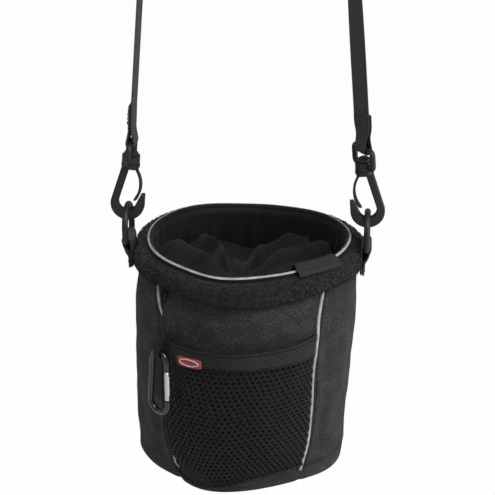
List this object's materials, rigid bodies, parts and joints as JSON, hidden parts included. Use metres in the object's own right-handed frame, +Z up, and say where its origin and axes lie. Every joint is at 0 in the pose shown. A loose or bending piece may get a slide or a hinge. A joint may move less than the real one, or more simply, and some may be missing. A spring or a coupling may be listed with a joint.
{
  "type": "treat pouch",
  "caption": "Round fabric treat pouch with a wire-held open mouth, mesh front pocket and clip, hung from an adjustable webbing shoulder strap by swivel snap hooks.",
  "frame": {"origin": "underside of the shoulder strap at its apex, where it is carried", "axes": "+Z up along the hanging pouch, +X to the wearer's right of the front pocket as seen from the front, +Y towards the plain back"},
  "size_m": [0.1768, 0.1574, 0.5495],
  "materials": {
    "heather_fabric": "woven melange polyester, dark grey",
    "lining_fabric": "smooth thin polyester, black",
    "spring_wire": "drawn spring wire",
    "reflective_piping": "silver retroreflective tape",
    "pile_tape": "loop pile, blue-black",
    "webbing": "ribbed woven webbing",
    "mesh": "knitted open mesh",
    "elastic": "ribbed elastic tape",
    "label": "woven label",
    "ribbon": "narrow woven ribbon",
    "black_plastic": "satin moulded plastic",
    "black_metal": "black anodised, glossy",
    "bright_metal": "bright"
  },
  "bodies": {
    "strap": {"strap_webbing": "webbing", "strap_tail": "webbing", "left_strap_end": "webbing", "right_strap_loop": "webbing", "strap_ring": "black_plastic", "left_swivel_eye": "black_plastic", "right_swivel_eye": "black_plastic"},
    "pouch": {"front_panel": "heather_fabric", "side_back_panel": "heather_fabric", "base_panel": "heather_fabric", "lining": "lining_fabric", "rim_wire": "spring_wire", "rim_piping": "reflective_piping", "rim_band": "pile_tape", "rim_tab": "webbing", "mesh_pocket": "mesh", "pocket_elastic": "elastic", "pocket_label": "label", "seam_loop": "ribbon", "left_piping": "reflective_piping", "right_piping": "reflective_piping", "left_ring_tab": "webbing", "right_ring_tab": "webbing", "carabiner_loop": "ribbon"},
    "left_ring": {"left_ring": "black_plastic"},
    "right_ring": {"right_ring": "black_plastic"},
    "left_hook": {"left_hook": "black_plastic"},
    "right_hook": {"right_hook": "black_plastic"},
    "left_gate": {"left_gate": "black_plastic"},
    "right_gate": {"right_gate": "black_plastic"},
    "slider": {"strap_slider": "black_plastic"},
    "carabiner": {"carabiner_body": "black_metal"},
    "carabiner_gate": {"carabiner_gate": "bright_metal", "carabiner_pin": "bright_metal"}
  },
  "joints": [
    {"name": "pouch_swing", "type": "hinge", "parent": "strap", "child": "pouch", "pos_m": [0, 0, -0.37987], "axis": [1, 0, 0], "range_deg": [-30, 30]},
    {"name": "left_hook_swivel", "type": "hinge", "parent": "strap", "child": "left_hook", "pos_m": [-0.07462, 0, -0.34773], "axis": [0.0854, 0, 0.9963], "range_deg": [-12, 12]},
    {"name": "left_gate_flex", "type": "hinge", "parent": "left_hook", "child": "left_gate", "pos_m": [-0.0705, 0, -0.35059], "axis": [0, 1, 0], "range_deg": [0, 20], "stiffness_Nm_per_rad": 0.02, "springref_deg": -5.73},
    {"name": "left_ring_tilt", "type": "hinge", "parent": "pouch", "child": "left_ring", "pos_m": [-0.07749, 0, -0.39647], "axis": [0, 1, 0], "range_deg": [-2, 2]},
    {"name": "right_hook_swivel", "type": "hinge", "parent": "strap", "child": "right_hook", "pos_m": [0.07462, 0, -0.34773], "axis": [-0.0854, 0, 0.9963], "range_deg": [-12, 12]},
    {"name": "right_gate_flex", "type": "hinge", "parent": "right_hook", "child": "right_gate", "pos_m": [0.0705, 0, -0.35059], "axis": [0, -1, 0], "range_deg": [0, 20], "stiffness_Nm_per_rad": 0.02, "springref_deg": -5.73},
    {"name": "right_ring_tilt", "type": "hinge", "parent": "pouch", "child": "right_ring", "pos_m": [0.07749, 0, -0.39647], "axis": [0, 1, 0], "range_deg": [-2, 2]},
    {"name": "carabiner_swing", "type": "hinge", "parent": "pouch", "child": "carabiner", "pos_m": [-0.04838, -0.06658, -0.44617], "axis": [-0.809, 0.5878, 0], "range_deg": [-1.5, 60]},
    {"name": "carabiner_gate_hinge", "type": "hinge", "parent": "carabiner", "child": "carabiner_gate", "pos_m": [-0.04336, -0.07023, -0.47672], "axis": [-0.5878, -0.809, 0], "range_deg": [0, 20], "stiffness_Nm_per_rad": 0.01, "springref_deg": -5.73},
    {"name": "slider_slide", "type": "slide", "parent": "strap", "child": "slider", "axis": [0.0854, 0, 0.9963], "range_m": [-0.045, 0.04], "deforming": ["strap_tail"]}
  ]
}
